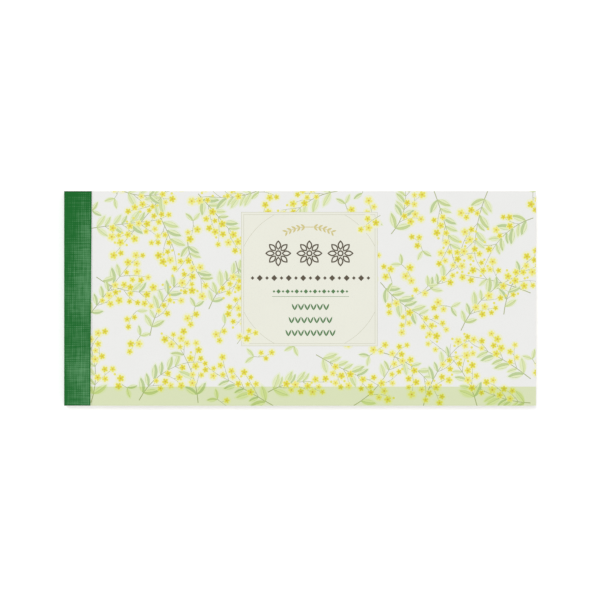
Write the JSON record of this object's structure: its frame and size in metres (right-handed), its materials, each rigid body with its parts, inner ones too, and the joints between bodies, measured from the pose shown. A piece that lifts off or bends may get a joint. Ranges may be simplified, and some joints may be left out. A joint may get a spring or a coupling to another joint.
{
  "type": "receipt book",
  "caption": "Closed landscape receipt book: printed cover, duplicate leaves, writing shield, back card, two staples and a green cloth tape round the bound edge.",
  "frame": {"origin": "centre of the underside, the back cover's face that rests on the table", "axes": "+X from the taped bound edge to the fore edge, +Y up the printed page, +Z out of the front cover"},
  "size_m": [0.176, 0.08, 0.0041],
  "materials": {
    "cover_paper": "matt printed cover paper",
    "receipt_paper": "uncoated white paper, pale green form",
    "copy_paper": "uncoated cream copy paper",
    "back_card": "matt grey-cream board",
    "shield_card": "smooth buff card",
    "binding_cloth": "woven cloth tape",
    "staple_wire": "galvanised flat wire"
  },
  "bodies": {
    "bound_book": {"back_cover": "back_card", "bound_leaf_stubs": "receipt_paper", "front_cover_bound_strip": "cover_paper", "spine_tape": "binding_cloth", "staple_upper": "staple_wire", "staple_lower": "staple_wire"},
    "copy_20": {"copy_20": "copy_paper"},
    "receipt_20": {"receipt_20": "receipt_paper"},
    "copy_19": {"copy_19": "copy_paper"},
    "receipt_19": {"receipt_19": "receipt_paper"},
    "copy_18": {"copy_18": "copy_paper"},
    "receipt_18": {"receipt_18": "receipt_paper"},
    "copy_17": {"copy_17": "copy_paper"},
    "receipt_17": {"receipt_17": "receipt_paper"},
    "copy_16": {"copy_16": "copy_paper"},
    "receipt_16": {"receipt_16": "receipt_paper"},
    "copy_15": {"copy_15": "copy_paper"},
    "receipt_15": {"receipt_15": "receipt_paper"},
    "copy_14": {"copy_14": "copy_paper"},
    "receipt_14": {"receipt_14": "receipt_paper"},
    "copy_13": {"copy_13": "copy_paper"},
    "receipt_13": {"receipt_13": "receipt_paper"},
    "copy_12": {"copy_12": "copy_paper"},
    "receipt_12": {"receipt_12": "receipt_paper"},
    "copy_11": {"copy_11": "copy_paper"},
    "receipt_11": {"receipt_11": "receipt_paper"},
    "copy_10": {"copy_10": "copy_paper"},
    "receipt_10": {"receipt_10": "receipt_paper"},
    "copy_09": {"copy_09": "copy_paper"},
    "receipt_09": {"receipt_09": "receipt_paper"},
    "copy_08": {"copy_08": "copy_paper"},
    "receipt_08": {"receipt_08": "receipt_paper"},
    "copy_07": {"copy_07": "copy_paper"},
    "receipt_07": {"receipt_07": "receipt_paper"},
    "copy_06": {"copy_06": "copy_paper"},
    "receipt_06": {"receipt_06": "receipt_paper"},
    "copy_05": {"copy_05": "copy_paper"},
    "receipt_05": {"receipt_05": "receipt_paper"},
    "copy_04": {"copy_04": "copy_paper"},
    "receipt_04": {"receipt_04": "receipt_paper"},
    "copy_03": {"copy_03": "copy_paper"},
    "receipt_03": {"receipt_03": "receipt_paper"},
    "copy_02": {"copy_02": "copy_paper"},
    "receipt_02": {"receipt_02": "receipt_paper"},
    "copy_01": {"copy_01": "copy_paper"},
    "receipt_01": {"receipt_01": "receipt_paper"},
    "front_cover": {"front_cover": "cover_paper"},
    "writing_shield": {"writing_shield": "shield_card"}
  },
  "joints": [
    {"name": "card_slide", "type": "slide", "parent": "bound_book", "child": "writing_shield", "axis": [1, 0, 0], "range_m": [0, 0.155]},
    {"name": "cover_turn", "type": "hinge", "parent": "receipt_01", "child": "front_cover", "pos_m": [-0.0776, 0, 0.0041], "axis": [0, -1, 0], "range_deg": [0, 180]},
    {"name": "leaf_01_turn", "type": "hinge", "parent": "copy_01", "child": "receipt_01", "pos_m": [-0.0776, 0, 0.0041], "axis": [0, -1, 0], "range_deg": [0, 180]},
    {"name": "leaf_02_turn", "type": "hinge", "parent": "receipt_02", "child": "copy_01", "pos_m": [-0.0776, 0, 0.0041], "axis": [0, -1, 0], "range_deg": [0, 180]},
    {"name": "leaf_03_turn", "type": "hinge", "parent": "copy_02", "child": "receipt_02", "pos_m": [-0.0776, 0, 0.0041], "axis": [0, -1, 0], "range_deg": [0, 180]},
    {"name": "leaf_04_turn", "type": "hinge", "parent": "receipt_03", "child": "copy_02", "pos_m": [-0.0776, 0, 0.0041], "axis": [0, -1, 0], "range_deg": [0, 180]},
    {"name": "leaf_05_turn", "type": "hinge", "parent": "copy_03", "child": "receipt_03", "pos_m": [-0.0776, 0, 0.0041], "axis": [0, -1, 0], "range_deg": [0, 180]},
    {"name": "leaf_06_turn", "type": "hinge", "parent": "receipt_04", "child": "copy_03", "pos_m": [-0.0776, 0, 0.0041], "axis": [0, -1, 0], "range_deg": [0, 180]},
    {"name": "leaf_07_turn", "type": "hinge", "parent": "copy_04", "child": "receipt_04", "pos_m": [-0.0776, 0, 0.0041], "axis": [0, -1, 0], "range_deg": [0, 180]},
    {"name": "leaf_08_turn", "type": "hinge", "parent": "receipt_05", "child": "copy_04", "pos_m": [-0.0776, 0, 0.0041], "axis": [0, -1, 0], "range_deg": [0, 180]},
    {"name": "leaf_09_turn", "type": "hinge", "parent": "copy_05", "child": "receipt_05", "pos_m": [-0.0776, 0, 0.0041], "axis": [0, -1, 0], "range_deg": [0, 180]},
    {"name": "leaf_10_turn", "type": "hinge", "parent": "receipt_06", "child": "copy_05", "pos_m": [-0.0776, 0, 0.0041], "axis": [0, -1, 0], "range_deg": [0, 180]},
    {"name": "leaf_11_turn", "type": "hinge", "parent": "copy_06", "child": "receipt_06", "pos_m": [-0.0776, 0, 0.0041], "axis": [0, -1, 0], "range_deg": [0, 180]},
    {"name": "leaf_12_turn", "type": "hinge", "parent": "receipt_07", "child": "copy_06", "pos_m": [-0.0776, 0, 0.0041], "axis": [0, -1, 0], "range_deg": [0, 180]},
    {"name": "leaf_13_turn", "type": "hinge", "parent": "copy_07", "child": "receipt_07", "pos_m": [-0.0776, 0, 0.0041], "axis": [0, -1, 0], "range_deg": [0, 180]},
    {"name": "leaf_14_turn", "type": "hinge", "parent": "receipt_08", "child": "copy_07", "pos_m": [-0.0776, 0, 0.0041], "axis": [0, -1, 0], "range_deg": [0, 180]},
    {"name": "leaf_15_turn", "type": "hinge", "parent": "copy_08", "child": "receipt_08", "pos_m": [-0.0776, 0, 0.0041], "axis": [0, -1, 0], "range_deg": [0, 180]},
    {"name": "leaf_16_turn", "type": "hinge", "parent": "receipt_09", "child": "copy_08", "pos_m": [-0.0776, 0, 0.0041], "axis": [0, -1, 0], "range_deg": [0, 180]},
    {"name": "leaf_17_turn", "type": "hinge", "parent": "copy_09", "child": "receipt_09", "pos_m": [-0.0776, 0, 0.0041], "axis": [0, -1, 0], "range_deg": [0, 180]},
    {"name": "leaf_18_turn", "type": "hinge", "parent": "receipt_10", "child": "copy_09", "pos_m": [-0.0776, 0, 0.0041], "axis": [0, -1, 0], "range_deg": [0, 180]},
    {"name": "leaf_19_turn", "type": "hinge", "parent": "copy_10", "child": "receipt_10", "pos_m": [-0.0776, 0, 0.0041], "axis": [0, -1, 0], "range_deg": [0, 180]},
    {"name": "leaf_20_turn", "type": "hinge", "parent": "receipt_11", "child": "copy_10", "pos_m": [-0.0776, 0, 0.0041], "axis": [0, -1, 0], "range_deg": [0, 180]},
    {"name": "leaf_21_turn", "type": "hinge", "parent": "copy_11", "child": "receipt_11", "pos_m": [-0.0776, 0, 0.0041], "axis": [0, -1, 0], "range_deg": [0, 180]},
    {"name": "leaf_22_turn", "type": "hinge", "parent": "receipt_12", "child": "copy_11", "pos_m": [-0.0776, 0, 0.0041], "axis": [0, -1, 0], "range_deg": [0, 180]},
    {"name": "leaf_23_turn", "type": "hinge", "parent": "copy_12", "child": "receipt_12", "pos_m": [-0.0776, 0, 0.0041], "axis": [0, -1, 0], "range_deg": [0, 180]},
    {"name": "leaf_24_turn", "type": "hinge", "parent": "receipt_13", "child": "copy_12", "pos_m": [-0.0776, 0, 0.0041], "axis": [0, -1, 0], "range_deg": [0, 180]},
    {"name": "leaf_25_turn", "type": "hinge", "parent": "copy_13", "child": "receipt_13", "pos_m": [-0.0776, 0, 0.0041], "axis": [0, -1, 0], "range_deg": [0, 180]},
    {"name": "leaf_26_turn", "type": "hinge", "parent": "receipt_14", "child": "copy_13", "pos_m": [-0.0776, 0, 0.0041], "axis": [0, -1, 0], "range_deg": [0, 180]},
    {"name": "leaf_27_turn", "type": "hinge", "parent": "copy_14", "child": "receipt_14", "pos_m": [-0.0776, 0, 0.0041], "axis": [0, -1, 0], "range_deg": [0, 180]},
    {"name": "leaf_28_turn", "type": "hinge", "parent": "receipt_15", "child": "copy_14", "pos_m": [-0.0776, 0, 0.0041], "axis": [0, -1, 0], "range_deg": [0, 180]},
    {"name": "leaf_29_turn", "type": "hinge", "parent": "copy_15", "child": "receipt_15", "pos_m": [-0.0776, 0, 0.0041], "axis": [0, -1, 0], "range_deg": [0, 180]},
    {"name": "leaf_30_turn", "type": "hinge", "parent": "receipt_16", "child": "copy_15", "pos_m": [-0.0776, 0, 0.0041], "axis": [0, -1, 0], "range_deg": [0, 180]},
    {"name": "leaf_31_turn", "type": "hinge", "parent": "copy_16", "child": "receipt_16", "pos_m": [-0.0776, 0, 0.0041], "axis": [0, -1, 0], "range_deg": [0, 180]},
    {"name": "leaf_32_turn", "type": "hinge", "parent": "receipt_17", "child": "copy_16", "pos_m": [-0.0776, 0, 0.0041], "axis": [0, -1, 0], "range_deg": [0, 180]},
    {"name": "leaf_33_turn", "type": "hinge", "parent": "copy_17", "child": "receipt_17", "pos_m": [-0.0776, 0, 0.0041], "axis": [0, -1, 0], "range_deg": [0, 180]},
    {"name": "leaf_34_turn", "type": "hinge", "parent": "receipt_18", "child": "copy_17", "pos_m": [-0.0776, 0, 0.0041], "axis": [0, -1, 0], "range_deg": [0, 180]},
    {"name": "leaf_35_turn", "type": "hinge", "parent": "copy_18", "child": "receipt_18", "pos_m": [-0.0776, 0, 0.0041], "axis": [0, -1, 0], "range_deg": [0, 180]},
    {"name": "leaf_36_turn", "type": "hinge", "parent": "receipt_19", "child": "copy_18", "pos_m": [-0.0776, 0, 0.0041], "axis": [0, -1, 0], "range_deg": [0, 180]},
    {"name": "leaf_37_turn", "type": "hinge", "parent": "copy_19", "child": "receipt_19", "pos_m": [-0.0776, 0, 0.0041], "axis": [0, -1, 0], "range_deg": [0, 180]},
    {"name": "leaf_38_turn", "type": "hinge", "parent": "receipt_20", "child": "copy_19", "pos_m": [-0.0776, 0, 0.0041], "axis": [0, -1, 0], "range_deg": [0, 180]},
    {"name": "leaf_39_turn", "type": "hinge", "parent": "copy_20", "child": "receipt_20", "pos_m": [-0.0776, 0, 0.0041], "axis": [0, -1, 0], "range_deg": [0, 180]},
    {"name": "leaf_40_turn", "type": "hinge", "parent": "bound_book", "child": "copy_20", "pos_m": [-0.0776, 0, 0.0041], "axis": [0, -1, 0], "range_deg": [0, 180]}
  ]
}
